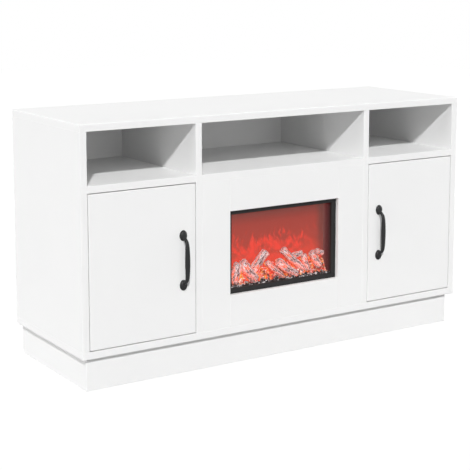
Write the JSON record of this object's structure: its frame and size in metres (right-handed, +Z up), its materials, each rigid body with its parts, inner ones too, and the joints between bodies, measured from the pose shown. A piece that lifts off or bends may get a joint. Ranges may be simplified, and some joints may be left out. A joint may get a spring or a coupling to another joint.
{
  "type": "fireplace tv stand",
  "caption": "White fireplace TV stand: recessed plinth, open upper bays, cupboards with bow-handled hinged doors, and a flame-effect insert with logs in the middle.",
  "frame": {"origin": "on the floor under the middle of the overall box, handles included", "axes": "+X to the viewer's right along the width, +Y to the back, +Z up; the doors face -Y"},
  "size_m": [1.2, 0.426, 0.663],
  "materials": {
    "white_board": "white satin laminate",
    "back_board": "white-faced hardboard",
    "raw_board": "plain softwood",
    "beech": "fluted beech",
    "zinc": "zinc plated",
    "plated_steel": "nickel plated",
    "black_metal": "satin black",
    "black_frame": "satin black",
    "black_sheet": "matt black",
    "white_plastic": "moulded",
    "black_plastic": "moulded",
    "window_glass": "clear, polished",
    "log_moulding": "bark texture, painted",
    "lit_screen": "translucent, back lit",
    "circuit_board": "lacquered",
    "mirror_foil": "mirror foil on steel",
    "motor_steel": "plain"
  },
  "bodies": {
    "cabinet": {"top_panel": "white_board", "base_panel": "white_board", "left_side_panel": "white_board", "right_side_panel": "white_board", "left_divider": "white_board", "right_divider": "white_board", "left_shelf": "white_board", "centre_shelf": "white_board", "right_shelf": "white_board", "left_loose_shelf": "white_board", "right_loose_shelf": "white_board", "plinth_front_left": "white_board", "plinth_front_right": "white_board", "plinth_left_side": "white_board", "plinth_right_side": "white_board", "plinth_rear": "white_board", "plinth_brace": "white_board", "surround_left_stile": "white_board", "surround_right_stile": "white_board", "surround_upper_rail": "white_board", "surround_lower_rail": "white_board", "left_back_panel": "back_board", "centre_back_panel": "back_board", "right_back_panel": "back_board", "surround_cleats": "raw_board", "dowels": "beech", "shelf_pins": "zinc", "cam_fittings": "zinc", "base_screws": "zinc", "hinge_arms": "plated_steel", "hinge_plates": "plated_steel", "door_catches": "white_plastic", "insert_bezel": "black_frame", "insert_glass": "window_glass", "insert_housing": "black_sheet", "insert_rear_cover": "black_sheet", "log_set": "log_moulding", "flame_screen": "lit_screen", "light_boards": "circuit_board", "control_board": "circuit_board", "rotor_bearing": "black_plastic", "rotor_motor": "motor_steel", "switch_body": "black_plastic", "power_inlet": "black_plastic"},
    "left_door": {"left_door": "white_board", "left_handle": "black_metal", "left_handle_screws": "plated_steel", "left_hinge_cups": "plated_steel", "left_hinge_pins": "plated_steel", "left_strike_plate": "plated_steel"},
    "right_door": {"right_door": "white_board", "right_handle": "black_metal", "right_handle_screws": "plated_steel", "right_hinge_cups": "plated_steel", "right_hinge_pins": "plated_steel", "right_strike_plate": "plated_steel"},
    "flame_rotor": {"mirror_rotor": "mirror_foil"},
    "rocker": {"switch_rocker": "black_plastic"}
  },
  "joints": [
    {"name": "left_door_hinge", "type": "hinge", "parent": "cabinet", "child": "left_door", "pos_m": [-0.5575, -0.1775, 0.299], "axis": [0, 0, -1], "range_deg": [0, 90]},
    {"name": "right_door_hinge", "type": "hinge", "parent": "cabinet", "child": "right_door", "pos_m": [0.5575, -0.1775, 0.299], "axis": [0, 0, 1], "range_deg": [0, 90]},
    {"name": "flame_rotor_spin", "type": "hinge", "parent": "cabinet", "child": "flame_rotor", "pos_m": [0, -0.103, 0.222], "axis": [1, 0, 0], "continuous": true},
    {"name": "rocker_tilt", "type": "hinge", "parent": "cabinet", "child": "rocker", "pos_m": [0.07, -0.0608, 0.28268], "axis": [-1, 0, 0], "range_deg": [0, 14]}
  ]
}
